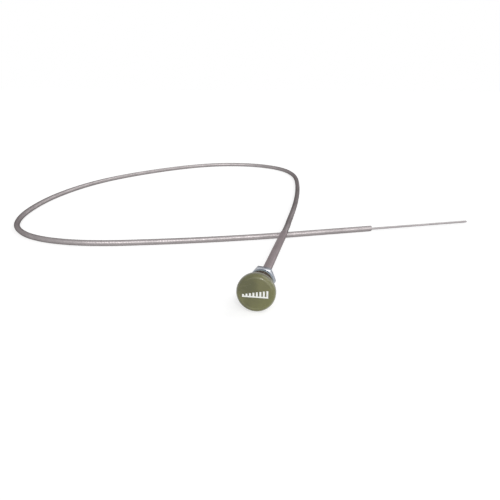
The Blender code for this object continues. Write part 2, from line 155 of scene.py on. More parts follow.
# Conduit's path, which repeats the CAD's
CONDUIT_RADIUS = 0.0026
CONDUIT_SEAT = 0.1157
BARREL_END = 0.1277
PAST_CROSSING = 0.15108
STRAIGHT_START = (0.0048, 0.0930)
STRAIGHT_HEADING = math.radians(25.0)
STRAIGHT_LENGTH = 0.0800
ROUTE = (
    (-0.0009, 0.1280, 0.0040),
    (-0.0019, 0.1680, 0.0025),
    (-0.0033, 0.2080, 0.0012),
    (-0.0054, 0.2480, 0.0003),
    (-0.0083, 0.2880, 0.0),
    (-0.0124, 0.3280, 0.0),
    (-0.0184, 0.3685, 0.0),
    (-0.0230, 0.3885, 0.0),
    (-0.0295, 0.4075, 0.0),
    (-0.0380, 0.4255, 0.0),
    (-0.0490, 0.4410, 0.0),
    (-0.0630, 0.4540, 0.0),
    (-0.0795, 0.4635, 0.0),
    (-0.0975, 0.4695, 0.0),
    (-0.1170, 0.4710, 0.0),
    (-0.1365, 0.4690, 0.0),
    (-0.1550, 0.4630, 0.0),
    (-0.1725, 0.4535, 0.0),
    (-0.1880, 0.4415, 0.0),
    (-0.2020, 0.4280, 0.0),
    (-0.2155, 0.4125, 0.0),
    (-0.2395, 0.3795, 0.0),
    (-0.2600, 0.3445, 0.0),
    (-0.2760, 0.3075, 0.0),
    (-0.2860, 0.2695, 0.0),
    (-0.2910, 0.2300, 0.0),
    (-0.2915, 0.1900, 0.0),
    (-0.2870, 0.1500, 0.0),
    (-0.2775, 0.1105, 0.0),
    (-0.2700, 0.0915, 0.0),
    (-0.2605, 0.0745, 0.0),
    (-0.2475, 0.0595, 0.0),
    (-0.2320, 0.0475, 0.0),
    (-0.2140, 0.0395, 0.0),
    (-0.1945, 0.0355, 0.0),
    (-0.1745, 0.0350, 0.0),
    (-0.1545, 0.0375, 0.0),
    (-0.1160, 0.0475, 0.0),
    (-0.0775, 0.0600, 0.0),
    (-0.0400, 0.0740, 0.0),
)
CURVE_STEPS = 24
WIRE_INSIDE = 0.0250
WIRE_EXPOSED = 0.1050
WIRE_RADIUS = 0.0010
WIRE_LOW_IN_BORE = 0.00035
WIRE_CORNER = 0.0003

# Facets round turned pieces, the rounding of corners, and angles that tell corners and edges
FINE_SEGMENTS = 144
SEGMENTS = 96
THIN_SEGMENTS = 48
CORNER_STEPS = 3
CORNER_REACH = 0.45
NEARLY_STRAIGHT = math.radians(155)
BEVEL_ANGLE = math.radians(24)
SHARP_ANGLE = math.radians(32)
COIL_SHARP_ANGLE = math.radians(40)
ON_AXIS = 1e-7

# Colours of wear and dirt, and of painted shade and highlight
KNOB_DUST = (0.185, 0.178, 0.072)
KNOB_SCUFF = (0.20, 0.19, 0.09)
KNOB_SCRATCH = (0.26, 0.25, 0.14)
# Painted shade round the knob's widest ring
KNOB_RIM_SHADE = (0.050, 0.044, 0.020)
# Painted shade on the flange's face and side, and a painted highlight at its front edge
FLANGE_FACE_PAINTED_SHADE = (0.20, 0.165, 0.155)
FLANGE_SIDE_PAINTED_SHADE = (0.040, 0.048, 0.085)
FLANGE_EDGE_PAINTED_HIGHLIGHT = (0.33, 0.39, 0.41)
# Painted shade along the back of the nut
NUT_BACK_SHADE = (0.085, 0.065, 0.068)
STEEL_SPOTS = (0.22, 0.17, 0.13)
# Dirt and painted shade in the conduit's grooves
GROOVE_DIRT_AND_SHADE = (0.13, 0.112, 0.11)

# Metals that no setting holds, and the colour of each metal's reflection at its edges
ROD_STEEL = (0.52, 0.51, 0.50)
INSERT_BRASS = (0.60, 0.43, 0.17)
SPRING_STEEL = (0.20, 0.22, 0.27)
ROD_EDGE = (0.6, 0.6, 0.6)
BRASS_EDGE = (0.7, 0.6, 0.4)
SPRING_EDGE = (0.35, 0.4, 0.5)
ZINC_EDGE = (0.55, 0.57, 0.62)
BARREL_EDGE = (0.50, 0.46, 0.47)
CONDUIT_EDGE = (0.08, 0.07, 0.07)
WIRE_EDGE = (0.45, 0.42, 0.43)

# Where the painted shade on the knob's face is darkest, across and upward from its middle
KNOB_PAINTED_SHADE_SPOT = (-0.0045, 0.0045)

# Camera, matched to the photograph: place, turn to the left, tilt down, focal length, sensor, nearest view
CAMERA_PLACE = (0.0525, -0.3824, 0.14456)
CAMERA_TURN = math.radians(10.283)
CAMERA_TILT = math.radians(18.2438)
CAMERA_LENS = 38.88
CAMERA_SENSOR = 36.0
CAMERA_CLIP = 0.01

# Stage: the floor's half width and drop, its greys as it lights and as it is seen, its glow when seen,
# and the world's strengths as it lights and as it is seen
FLOOR_HALF = 4.0
FLOOR_DROP = 0.0002
FLOOR_GREY = 0.80
FLOOR_SEEN_GREY = 0.50
FLOOR_SEEN_GLOW = 0.64
WORLD_LIGHTING = 0.35
WORLD_SHOWN = 1.0
WHITE = (1.0, 1.0, 1.0)

# Lamps: name, place that it shines from, spread in degrees and strength
LAMPS = (
    ("key", (0.50, -0.84, 0.16), 110.0, 1.92),
    ("side", (0.55, 0.45, 0.68), 40.0, 0.60),
    ("spark", (0.24, -0.77, 0.62), 9.0, 0.80),
    ("rear", (0.66, 0.72, 0.06), 30.0, 0.40),
)


def barrel_axis():
    """Matrix from axis coordinates to the frame's, from the pull joint and the panel's seat."""
    pull = next(joint for joint in frame["joints"] if joint["name"] == "throttle_pull")
    seat = next(mount for mount in frame["record"]["mounts"] if mount["name"] == "panel_seat")
    across = Vector((1.0, 0.0, 0.0))
    rearward = -Vector(pull["axis"])
    upward = across.cross(rearward)
    place = Vector(seat["pos_m"])
    place.x = 0.0
    axes = Matrix((across, rearward, upward)).transposed().to_4x4()
    return Matrix.Translation(place) @ axes


AXIS = barrel_axis()


def on_axis(along):
    """The place at a distance along the barrel's axis."""
    return AXIS @ Vector((0.0, along, 0.0))


def tone_property(name, description, default):
    """Property that holds a colour."""
    return FloatVectorProperty(
        name=name, description=description, subtype="COLOR", default=default, min=0.0, max=1.0,
    )


class ThrottleSettings(bpy.types.PropertyGroup):
    """Sizes and colours that a user may change before the pieces are built."""

    coil_pitch: FloatProperty(
        name="Coil pitch", description="Distance between turns of the conduit's wire",
        default=0.00135, min=0.0008, max=0.004, unit="LENGTH",
    )
    coil_steps: IntProperty(
        name="Steps a turn", description="Facets in one turn of the conduit's wire",
        default=14, min=8, max=24,
    )
    thread_pitch: FloatProperty(
        name="Thread pitch", description="Distance between crests of the bushing's thread",
        default=0.00127, min=0.0005, max=0.003, unit="LENGTH",
    )
    bushing_colour: tone_property("Bushing", "Colour of the bushing's blue zinc plate", (0.20, 0.26, 0.36))
    knob_colour: tone_property("Knob", "Colour of the moulded knob", (0.116, 0.116, 0.037))
    mark_colour: tone_property("Mark", "Colour of the filled mark on the knob", (0.86, 0.87, 0.83))
    zinc_colour: tone_property("Nut", "Colour of the nut's bright zinc plate", (0.42, 0.435, 0.465))
    barrel_colour: tone_property("Barrel", "Colour of the barrel's steel", (0.300, 0.262, 0.268))
    conduit_colour: tone_property("Conduit", "Colour of the conduit's wound wire", (0.375, 0.345, 0.348))
    wire_colour: tone_property("Control wire", "Colour of the bare wire", (0.38, 0.355, 0.36))


class Value:
    """A node's output, on which arithmetic adds Math nodes."""

    def __init__(self, graph, socket):
        self.graph = graph
        self.socket = socket

    def maths(self, operation, *values):
        inputs = dict(enumerate(values))
        return self.graph.node("ShaderNodeMath", {"operation": operation}, inputs)

    def __add__(self, other):
        return self.maths("ADD", self, other)

    def __radd__(self, other):
        return self.maths("ADD", other, self)

    def __sub__(self, other):
        return self.maths("SUBTRACT", self, other)

    def __rsub__(self, other):
        return self.maths("SUBTRACT", other, self)

    def __mul__(self, other):
        return self.maths("MULTIPLY", self, other)

    def __rmul__(self, other):
        return self.maths("MULTIPLY", other, self)

    def __truediv__(self, other):
        return self.maths("DIVIDE", self, other)

    def __rtruediv__(self, other):
        return self.maths("DIVIDE", other, self)

    def cosine(self):
        return self.maths("COSINE", self)

    def sine(self):
        return self.maths("SINE", self)

    def size(self):
        return self.maths("ABSOLUTE", self)

    def larger(self, other):
        return self.maths("MAXIMUM", self, other)


class Graph:
    """Adds nodes to a shader or geometry tree and feeds their inputs."""

    def __init__(self, tree):
        self.tree = tree

    def socket(self, sockets, key):
        if isinstance(key, int):
            return sockets[key]
        for found in sockets:
            if found.identifier == key:
                return found
        return sockets[key]

    def feed(self, socket, value):
        if isinstance(value, Value):
            self.tree.links.new(value.socket, socket)
        else:
            socket.default_value = value

    def node(self, kind, settings, inputs, output=0):
        """Output of a new node with these settings, and with values or links on its inputs."""
        made = self.tree.nodes.new(kind)
        for name, value in settings.items():
            setattr(made, name, value)
        for key, value in inputs.items():
            self.feed(self.socket(made.inputs, key), value)
        return Value(self, self.socket(made.outputs, output))

    def vector_maths(self, operation, first, second=None, output="Vector"):
        inputs = {"Vector": first}
        if second is not None:
            inputs["Scale" if operation == "SCALE" else "Vector_001"] = second
        return self.node("ShaderNodeVectorMath", {"operation": operation}, inputs, output)

    def coordinate(self, vector, axis):
        """The X, Y or Z of a vector."""
        return self.node("ShaderNodeSeparateXYZ", {}, {"Vector": vector}, axis)

    def mixed(self, factor, first, second):
        """Colour between two others."""
        inputs = {"Factor_Float": factor, "A_Color": first, "B_Color": second}
        return self.node("ShaderNodeMix", {"data_type": "RGBA"}, inputs, "Result_Color")

    def stepped(self, value, low, high, start=0.0, end=1.0):
        """Smooth rise from start to end as value goes from low to high."""
        inputs = {"Value": value, "From Min": low, "From Max": high, "To Min": start, "To Max": end}
        settings = {"interpolation_type": "SMOOTHSTEP"}
        return self.node("ShaderNodeMapRange", settings, inputs, "Result")

    def noise(self, place, scale, detail=3.0, roughness=0.55, distortion=0.0):
        inputs = {
            "Vector": place, "Scale": scale, "Detail": detail,
            "Roughness": roughness, "Distortion": distortion,
        }
        return self.node("ShaderNodeTexNoise", {}, inputs, "Fac")

    def patches(self, place, low, high, **noise):
        """Noise as a mask: 0 below low, 1 above high."""
        return self.stepped(self.noise(place, **noise), low, high)


def colour(values, brightness=1.0):
    return (*[value * brightness for value in values], 1.0)


class Finish(Graph):
    """A Principled material whose patterns read the piece's own coordinates."""

    def __init__(self, name):
        self.material = bpy.data.materials.new(name)
        self.material.use_nodes = True
        super().__init__(self.material.node_tree)
        self.shader = self.tree.nodes["Principled BSDF"]
        self.place = self.node("ShaderNodeTexCoord", {}, {}, "Object")

    def put(self, **inputs):
        for name, value in inputs.items():
            self.feed(self.shader.inputs[name.replace("_", " ")], value)

    def axis_place(self, stretch=1.0):
        """Coordinates along the barrel's axis, divided along it by stretch."""
        origin, turn, _ = AXIS.inverted().decompose()
        settings = {"vector_type": "POINT"}
        inputs = {"Vector": self.place, "Location": origin, "Rotation": turn.to_euler()}
        turned_place = self.node("ShaderNodeMapping", settings, inputs, "Vector")
        return self.vector_maths("MULTIPLY", turned_place, (1.0, 1.0 / stretch, 1.0))

    def from_axis(self, place):
        """Distance of a place from the barrel's axis."""
        flat = self.vector_maths("MULTIPLY", place, (1.0, 0.0, 1.0))
        return self.vector_maths("LENGTH", flat, output="Value")

    def base_colour(self):
        """What feeds the shader's colour so far."""
        return Value(self, self.shader.inputs["Base Color"].links[0].from_socket)

    def bump(self, height, distance):
        inputs = {"Height": height, "Distance": distance, "Strength": 1.0}
        self.put(Normal=self.node("ShaderNodeBump", {}, inputs, "Normal"))


def knob_finish(settings):
    """Glossy olive moulding: mottled, dusty and finely scratched, with painted shade at the upper left of
    its face and round its widest ring, and painted light to the lower right.
    """
    finish = Finish("olive_moulding")
    olive = settings.knob_colour
    face = span("knob")[0]
    place = finish.axis_place()
    across = finish.coordinate(place, "X")
    along = finish.coordinate(place, "Y")
    upward = finish.coordinate(place, "Z")

    mottle = finish.patches(place, 0.35, 0.68, scale=210.0, detail=4.0)
    cloud = finish.patches(place, 0.35, 0.65, scale=60.0, detail=2.0)
    body = finish.mixed(mottle, colour(olive, 0.86), colour(olive, 1.08))
    body = finish.mixed(cloud * 0.4, body, colour(KNOB_DUST))
    # Painted shade: the olive turns darker towards the upper left of the face
    shade_spot = (KNOB_PAINTED_SHADE_SPOT[0], face, KNOB_PAINTED_SHADE_SPOT[1])
    from_shade_spot = finish.vector_maths("DISTANCE", place, shade_spot, output="Value")
    upper_left_shade = finish.stepped(from_shade_spot, 0.0020, 0.0095, start=0.8, end=0.0)
    body = finish.mixed(upper_left_shade, body, colour(olive, 0.66))
    # Painted light: the olive turns lighter towards the lower right of the knob
    lower_right_light = finish.stepped(across - upward, 0.0010, 0.0150)
    body = finish.mixed(lower_right_light * 0.8, body, colour(olive, 1.40))

    from_ring = (along - (face + KNOB_FACE_AHEAD)).size()
    rim = 1.0 - finish.stepped(from_ring, 0.0012, 0.0026)
    edge = 1.0 - finish.stepped(from_ring, 0.0005, 0.0015)
    scuffed = finish.patches(place, 0.48, 0.78, scale=1400.0, roughness=0.65, distortion=0.4)
    body = finish.mixed(rim * scuffed * 0.3, body, colour(KNOB_SCUFF))
    # Painted shade: a dark band round the knob's widest ring
    body = finish.mixed(edge * 0.7, body, colour(KNOB_RIM_SHADE))
    stretched = finish.vector_maths("MULTIPLY", place, (220.0, 40.0, 2600.0))
    scratch = finish.patches(stretched, 0.66, 0.72, scale=1.0, detail=2.0, roughness=0.5, distortion=0.4)
    body = finish.mixed(scratch * 0.18, body, colour(KNOB_SCRATCH))

    shining = finish.stepped(from_ring, 0.0018, 0.0036, start=0.05, end=0.5)
    finish.put(Base_Color=body, IOR=1.46, Coat_Weight=shining, Coat_Roughness=0.08)
    rough = finish.stepped(cloud, 0.0, 1.0, start=0.17, end=0.23)
    finish.put(Roughness=rough + scratch * 0.15 + rim * scuffed * 0.12)
    peel = finish.noise(place, scale=1500.0, detail=2.0) * 0.000012
    dome = (across * across + upward * upward) * -3.0
    finish.bump(peel + dome, 1.0)
    return finish.material


def mark_finish(settings):
    """White filling paint, a little uneven and stained."""
    finish = Finish("mark_fill")
    white = settings.mark_colour
    stain = finish.patches(finish.place, 0.45, 0.75, scale=700.0, detail=4.0)
    finish.put(Base_Color=finish.mixed(stain * 0.5, colour(white), colour(white, 0.80)))
    finish.put(Roughness=finish.stepped(stain, 0.0, 1.0, start=0.34, end=0.5))
    finish.bump(finish.noise(finish.place, scale=2600.0, detail=2.0), 0.00003)
    return finish.material


def metal_finish(name, tone, roughness, edge, stretch=1.0, grain=1400.0, stained=0.35, metallic=1.0):
    """Metal with drawn or rolled grain, cloudy oxide, small spots and a tinted reflection at its edges."""
    finish = Finish(name)
    place = finish.axis_place(stretch)
    lines = finish.noise(place, scale=grain, roughness=0.6)
    cloud = finish.patches(finish.place, 0.38, 0.66, scale=70.0, detail=4.0, roughness=0.6)
    spots = finish.patches(finish.place, 0.60, 0.70, scale=520.0, roughness=0.6, distortion=0.6)
    body = finish.mixed(finish.stepped(lines, 0.3, 0.7), colour(tone, 0.84), colour(tone, 1.10))
    body = finish.mixed(cloud * 0.45, body, colour(tone, 0.72))
    body = finish.mixed(spots * stained, body, colour(STEEL_SPOTS))
    finish.put(Base_Color=body, Metallic=metallic, Specular_Tint=colour(edge))
    dull = lines + cloud * 0.5
    finish.put(Roughness=finish.stepped(dull, 0.3, 1.1, start=roughness - 0.05, end=roughness + 0.09))
    finish.bump(lines + spots * -0.6, 0.000012)
    return finish


def zinc_finish(name, tone, metallic):
    """Zinc plate: bluish, faintly clouded."""
    return metal_finish(name, tone, 0.24, ZINC_EDGE, grain=900.0, stained=0.25, metallic=metallic)


def flange_finish(settings):
    """Blue zinc plate, with painted shade on the flange's face and rim and a painted highlight round its
    front edge.
    """
    finish = zinc_finish("blue_zinc", settings.bushing_colour, metallic=0.8)
    front, _, flange_radius = span("bushing")
    place = finish.axis_place()
    along = finish.coordinate(place, "Y")
    ahead = 1.0 - finish.stepped(along, front + 0.0002, front + 0.0004)
    outer = finish.stepped(finish.from_axis(place), flange_radius - 0.0005, flange_radius - 0.0003)
    # Painted shade on the flange's side and front face, and a painted highlight where they meet at its
    # front edge
    body = finish.mixed(outer, finish.base_colour(), colour(FLANGE_SIDE_PAINTED_SHADE))
    body = finish.mixed(ahead, body, colour(FLANGE_FACE_PAINTED_SHADE))
    finish.put(Base_Color=finish.mixed(ahead * outer, body, colour(FLANGE_EDGE_PAINTED_HIGHLIGHT)))
    return finish.material


def nut_finish(settings):
    """Bright zinc plate with a ragged painted shade along the back of its left sides."""
    finish = zinc_finish("bright_zinc", settings.zinc_colour, metallic=0.95)
    rear = span("mounting_nut")[1]
    place = finish.axis_place()
    across = finish.coordinate(place, "X")
    along = finish.coordinate(place, "Y")
    # Painted shade along the back of the nut's left sides, made ragged by noise
    ragged = along + finish.noise(finish.place, scale=600.0) * 0.0010
    on_side = finish.stepped(finish.from_axis(place), 0.0072, 0.0079)
    back_shade = finish.stepped(ragged, rear - 0.0022, rear - 0.0012) * on_side
    back_shade = back_shade * (1.0 - finish.stepped(across, 0.001, 0.006))
    finish.put(Base_Color=finish.mixed(back_shade * 0.9, finish.base_colour(), colour(NUT_BACK_SHADE)))
    return finish.material


def conduit_finish(settings):
    """Wound steel wire: darker in the grooves between turns from dirt and painted shade, with patches of
    dull oxide.
    """
    tone = settings.conduit_colour
    finish = metal_finish("wound_steel", tone, 0.36, CONDUIT_EDGE, grain=2200.0, stained=0.1)
    groove = finish.node("ShaderNodeAttribute", {"attribute_name": "groove"}, {}, "Fac")
    # Dirt and painted shade: darker colour in the grooves between turns
    depth = finish.stepped(groove, 0.52, 0.9)
    dull = finish.patches(finish.place, 0.42, 0.68, scale=22.0, roughness=0.6)
    body = finish.mixed(dull * 0.2, finish.base_colour(), colour(tone, 0.66))
    finish.put(Base_Color=finish.mixed(depth * 0.6, body, colour(GROOVE_DIRT_AND_SHADE)))
    return finish.material


def span(node):
    """Where a CAD node starts and ends along the axis, and its largest radius about it."""
    inverse = AXIS.inverted()
    places = [inverse @ vertex.co for vertex in frame["nodes"][node].data.vertices]
    along = [place.y for place in places]
    return min(along), max(along), max(math.hypot(place.x, place.z) for place in places)


def turned(profile, segments=SEGMENTS):
    """Solid turned about the axis from (along, radius) points; off the axis it closes into a ring."""
    bm = bmesh.new()
    rings = []
    for along, radius in profile:
        if radius < ON_AXIS:
            rings.append([bm.verts.new((0, along, 0))])
            continue
        ring = []
        for step in range(segments):
            angle = math.tau * step / segments
            ring.append(bm.verts.new((radius * math.cos(angle), along, radius * math.sin(angle))))
        rings.append(ring)
    pairs = list(zip(rings, rings[1:]))
    if len(rings[0]) > 1:
        pairs.append((rings[-1], rings[0]))
    for first, second in pairs:
        for step in range(segments):
            after = (step + 1) % segments
            if len(first) == 1:
                bm.faces.new((first[0], second[step], second[after]))
            elif len(second) == 1:
                bm.faces.new((first[step], first[after], second[0]))
            else:
                bm.faces.new((first[step], first[after], second[after], second[step]))
    return bm


def eased(profile, radius, closed=True):
    """The profile with its sharp corners rounded over."""
    points = [Vector(point) for point in profile]
    last = len(points) - 1
    rounded = []
    for index, here in enumerate(points):
        before = points[index - 1] - here
        after = points[(index + 1) % len(points)] - here
        at_end = not closed and index in (0, last)
        if at_end or before.angle(after) > NEARLY_STRAIGHT:
            rounded.append(here)
            continue
        start = before.normalized() * min(radius, before.length * CORNER_REACH)
        end = after.normalized() * min(radius, after.length * CORNER_REACH)
        for step in range(CORNER_STEPS + 1):
            t = step / CORNER_STEPS
            rounded.append(here + start * (1 - t) ** 2 + end * t**2)
    return [tuple(point) for point in rounded]


def prism(outline, front, back):
    """Flat piece with an (x, z) outline, from front to back along the axis."""
    bm = bmesh.new()
    bm.faces.new([bm.verts.new((x, front, z)) for x, z in outline])
    grown = bmesh.ops.extrude_face_region(bm, geom=bm.faces[:])
    moved = [item for item in grown["geom"] if isinstance(item, bmesh.types.BMVert)]
    bmesh.ops.translate(bm, verts=moved, vec=(0, back - front, 0))
    return bm


def linked(name, bm, matrix=AXIS):
    """Mesh object from bm, put in place through matrix, its faces outward."""
    bmesh.ops.recalc_face_normals(bm, faces=bm.faces)
    bm.transform(matrix)
    mesh = bpy.data.meshes.new(name)
    bm.to_mesh(mesh)
    bm.free()
    made = bpy.data.objects.new(name, mesh)
    bpy.context.scene.collection.objects.link(made)
    return made


def evaluated_mesh(source):
    """The mesh of an object with its modifiers in effect."""
    depsgraph = bpy.context.evaluated_depsgraph_get()
    return bpy.data.meshes.new_from_object(source.evaluated_get(depsgraph), depsgraph=depsgraph)


def baked(made):
    """Turns the object's modifiers into plain mesh."""
    made.data = evaluated_mesh(made)
    made.modifiers.clear()


def combined(made, tool, operation):
    """Cuts the object by the tool, or keeps what both hold, and removes the tool."""
    cut = made.modifiers.new(operation.title(), "BOOLEAN")
    cut.operation = operation
    cut.object = tool
    cut.solver = "EXACT"
    baked(made)
    bpy.data.objects.remove(tool)


def bevelled(made, width):
    """Breaks the object's edges."""
    bevel = made.modifiers.new("Edges", "BEVEL")
    bevel.width = width
    bevel.segments = 2
    bevel.limit_method = "ANGLE"
    bevel.angle_limit = BEVEL_ANGLE
    baked(made)


def finished(made, body, material, replaced, sharp=SHARP_ANGLE):
    """Shades and paints the piece and hands it to the frame in the place of its CAD nodes."""
    made.data.shade_smooth()
    made.data.set_sharp_from_angle(angle=sharp)
    made.data.materials.clear()
    made.data.materials.append(material)
    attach(made, body)
    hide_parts(*replaced)


def painted(node, material):
    """Gives a CAD node that stays as it is its finish."""
    shown = frame["nodes"][node]
    shown.data.materials.clear()
    shown.data.materials.append(material)


def knob_profile(ring):
    """Knob's profile from the middle of its face round to its neck's pocket."""
    face = -KNOB_FACE_AHEAD
    bead_front = face - KNOB_BEAD
    edge_depth = -KNOB_BAND / 2 - bead_front
    edge_width = KNOB_RADIUS - KNOB_FACE_RADIUS
    profile = [(face, 0.0)]
    bead_steps = KNOB_EDGE_STEPS // 2
    for step in range(bead_steps):
        share = step / bead_steps
        rise = (1 - math.cos(math.pi * share)) / 2
        radius = KNOB_FACE_RADIUS - KNOB_BEAD_WIDTH * (1 - share)
        profile.append((face - KNOB_BEAD * rise, radius))
    for step in range(KNOB_EDGE_STEPS + 1):
        angle = math.pi / 2 * step / KNOB_EDGE_STEPS
        along = bead_front + edge_depth * (1 - math.cos(angle))
        profile.append((along, KNOB_FACE_RADIUS + edge_width * math.sin(angle)))
    back_rim = KNOB_BAND / 2
    profile.append((back_rim, KNOB_RADIUS))
    shoulder_drop = (KNOB_RADIUS - KNOB_NECK_RADIUS) * KNOB_SHOULDER_SHARE
    for step in range(1, KNOB_EDGE_STEPS):
        angle = math.pi / 2 * step / KNOB_EDGE_STEPS
        along = back_rim + KNOB_SHOULDER * math.sin(angle)
        profile.append((along, KNOB_RADIUS - shoulder_drop * (1 - math.cos(angle))))
    neck = [
        profile[-1],
        (back_rim + KNOB_SHOULDER + KNOB_TAPER, KNOB_NECK_RADIUS),
        (KNOB_LENGTH_BEHIND, KNOB_NECK_RADIUS),
        (KNOB_LENGTH_BEHIND, NECK_POCKET_RADIUS),
        (KNOB_LENGTH_BEHIND - NECK_POCKET_DEPTH, NECK_POCKET_RADIUS),
        (KNOB_LENGTH_BEHIND - NECK_POCKET_DEPTH, ROD_POCKET_RADIUS),
        (KNOB_LENGTH_BEHIND - ROD_POCKET_DEPTH, ROD_POCKET_RADIUS),
        (KNOB_LENGTH_BEHIND - ROD_POCKET_DEPTH, 0.0),
    ]
    profile += eased(neck, KNOB_CORNER, closed=False)[1:]
    return [(ring + along, radius) for along, radius in profile]


def mark_outline(grow):
    """A baseline with bars that rise to the right, grown outward on every side."""
    bar_width = MARK_WIDTH / (MARK_BARS + (MARK_BARS - 1) * MARK_BAR_TO_GAP)
    pitch = bar_width * (1 + MARK_BAR_TO_GAP)
    left = -MARK_WIDTH / 2
    bottom = -MARK_HEIGHT / 2
    baseline_top = bottom + MARK_BASELINE + grow
    outline = [(left - grow, bottom - grow), (-left + grow, bottom - grow)]
    for bar in reversed(range(MARK_BARS)):
        bar_left = left + bar * pitch - grow
        bar_right = left + bar * pitch + bar_width + grow
        rise = (MARK_HEIGHT - MARK_FIRST_BAR) * bar / (MARK_BARS - 1)
        top = bottom + MARK_FIRST_BAR + rise + grow
        if bar < MARK_BARS - 1:
            outline.append((bar_right, baseline_top))
        outline += [(bar_right, top), (bar_left, top)]
        if bar > 0:
            outline.append((bar_left, baseline_top))
    return outline


def build_knob(settings):
    """Moulded knob with the pocket of its mark, and the filled mark."""
    face = span("knob")[0]
    knob = linked("knob_shell", turned(knob_profile(face + KNOB_FACE_AHEAD), FINE_SEGMENTS))
    pocket = prism(mark_outline(INLAY_GAP), face - MARK_DEPTH, face + MARK_DEPTH + INLAY_GAP)
    combined(knob, linked("pocket_tool", pocket), "DIFFERENCE")
    finished(knob, "pull", knob_finish(settings), ["knob"])
    painted("knob_mark", mark_finish(settings))


def build_pull_rod():
    """Rod with its stop collar, and the finish of the insert that holds it."""
    front, rear, collar_radius = span("pull_rod")
    collar = rear - COLLAR_LENGTH
    bore = WIRE_RADIUS * ROD_BORE_SHARE
    profile = [
        (front, 0.0), (front, ROD_RADIUS), (collar, ROD_RADIUS), (collar, collar_radius),
        (rear, collar_radius), (rear, bore), (collar, bore), (collar, 0.0),
    ]
    form = turned(eased(profile, ROD_CORNER, closed=False), THIN_SEGMENTS)
    steel = metal_finish("drawn_steel", ROD_STEEL, 0.24, ROD_EDGE, stretch=60.0, grain=3200.0)
    finished(linked("pull_rod_form", form), "pull", steel.material, ["pull_rod"])
    brass = metal_finish("insert_brass", INSERT_BRASS, 0.30, BRASS_EDGE)
    painted("knob_insert", brass.material)


class Maker(Graph):
    """A Geometry Nodes tree with named inputs that ends in one mesh with one finish."""

    def __init__(self, name, inputs):
        super().__init__(bpy.data.node_groups.new(name, "GeometryNodeTree"))
        for label, kind in inputs.items():
            self.tree.interface.new_socket(label, in_out="INPUT", socket_type="NodeSocket" + kind)
        self.tree.interface.new_socket("Made", in_out="OUTPUT", socket_type="NodeSocketGeometry")
        self.given = self.tree.nodes.new("NodeGroupInput")

    def asked(self, name):
        return Value(self, self.given.outputs[name])

    def geometry(self, kind, inputs, output="Geometry", **settings):
        """Output of a new Geometry Nodes node."""
        return self.node("GeometryNode" + kind, settings, inputs, output)

    def built(self, shape):
        """The tree, ending in this shape made real and given its finish."""
        shape = self.geometry("RealizeInstances", {"Geometry": shape})
        inputs = {"Geometry": shape, "Material": self.asked("Finish")}
        shape = self.geometry("SetMaterial", inputs)
        self.tree.links.new(shape.socket, self.tree.nodes.new("NodeGroupOutput").inputs["Made"])
        return self.tree


def winding_tree():
    """Geometry Nodes tree that winds a wire in a helix round its input path."""
    maker = Maker("Winding", {
        "Path": "Geometry", "Coil Radius": "Float", "Pitch": "Float", "Wire Width": "Float",
        "Wire Thickness": "Float", "Flatness": "Float", "Steps A Turn": "Int", "Wire Sides": "Int",
        "Finish": "Material",
    })
    path = maker.geometry("MeshToCurve", {"Mesh": maker.asked("Path")}, "Curve")
    length = maker.geometry("CurveLength", {"Curve": path}, "Length")
    count = length / maker.asked("Pitch") * maker.asked("Steps A Turn") + 1.0
    points = maker.geometry("ResampleCurve", {"Curve": path, "Count": count}, "Curve", mode="COUNT")

    angle = maker.geometry("InputIndex", {}, "Index") * math.tau / maker.asked("Steps A Turn")
    tangent = maker.geometry("InputTangent", {}, "Tangent")
    side = maker.vector_maths("CROSS_PRODUCT", tangent, (0.0, 0.0, 1.0))
    side = maker.vector_maths("NORMALIZE", side)
    upward = maker.vector_maths("CROSS_PRODUCT", side, tangent)
    side = maker.vector_maths("SCALE", side, angle.cosine())
    upward = maker.vector_maths("SCALE", upward, angle.sine())
    radial = maker.vector_maths("ADD", side, upward)
    facing = maker.geometry("SetCurveNormal", {"Curve": points, "Normal": radial}, "Curve", mode="FREE")
    offset = maker.vector_maths("SCALE", radial, maker.asked("Coil Radius"))
    helix = maker.geometry("SetPosition", {"Geometry": facing, "Offset": offset})

    ring_inputs = {"Resolution": maker.asked("Wire Sides"), "Radius": 0.5}
    ring = maker.geometry("CurvePrimitiveCircle", ring_inputs, "Curve", mode="RADIUS")
    position = maker.geometry("InputPosition", {}, "Position")
    outward = maker.coordinate(position, "X")
    axial = maker.coordinate(position, "Y")
    groove_inputs = {"Geometry": ring, "Name": "groove", "Value": axial.size() * 2.0}
    groove_kind = {"data_type": "FLOAT", "domain": "POINT"}
    marked = maker.geometry("StoreNamedAttribute", groove_inputs, **groove_kind)
    widened = axial * outward.size() * maker.asked("Flatness")
    shift = maker.node("ShaderNodeCombineXYZ", {}, {"Y": widened}, "Vector")
    marked = maker.geometry("SetPosition", {"Geometry": marked, "Offset": shift})
    sizes = {"X": maker.asked("Wire Thickness"), "Y": maker.asked("Wire Width"), "Z": 1.0}
    size = maker.node("ShaderNodeCombineXYZ", {}, sizes, "Vector")
    profile = maker.geometry("Transform", {"Geometry": marked, "Scale": size})
    swept = {"Curve": helix, "Profile Curve": profile, "Fill Caps": True}
    return maker.built(maker.geometry("CurveToMesh", swept, "Mesh"))


def applied(name, source, tree, values):
    """New plain mesh object: what the tree makes of the source object's mesh."""
    modifier = source.modifiers.new(tree.name, "NODES")
    modifier.node_group = tree
    for item in tree.interface.items_tree:
        if item.in_out == "INPUT" and item.name in values:
            modifier[item.identifier] = values[item.name]
    made = bpy.data.objects.new(name, evaluated_mesh(source))
    bpy.context.scene.collection.objects.link(made)
    bpy.data.objects.remove(source)
    return made


def wound(name, places, values):
    """Wire wound round a line of places."""
    mesh = bpy.data.meshes.new(name + "_path")
    mesh.from_pydata(places, [(index, index + 1) for index in range(len(places) - 1)], [])
    source = bpy.data.objects.new(name + "_path", mesh)
    bpy.context.scene.collection.objects.link(source)
    return applied(name, source, winding_tree(), values)


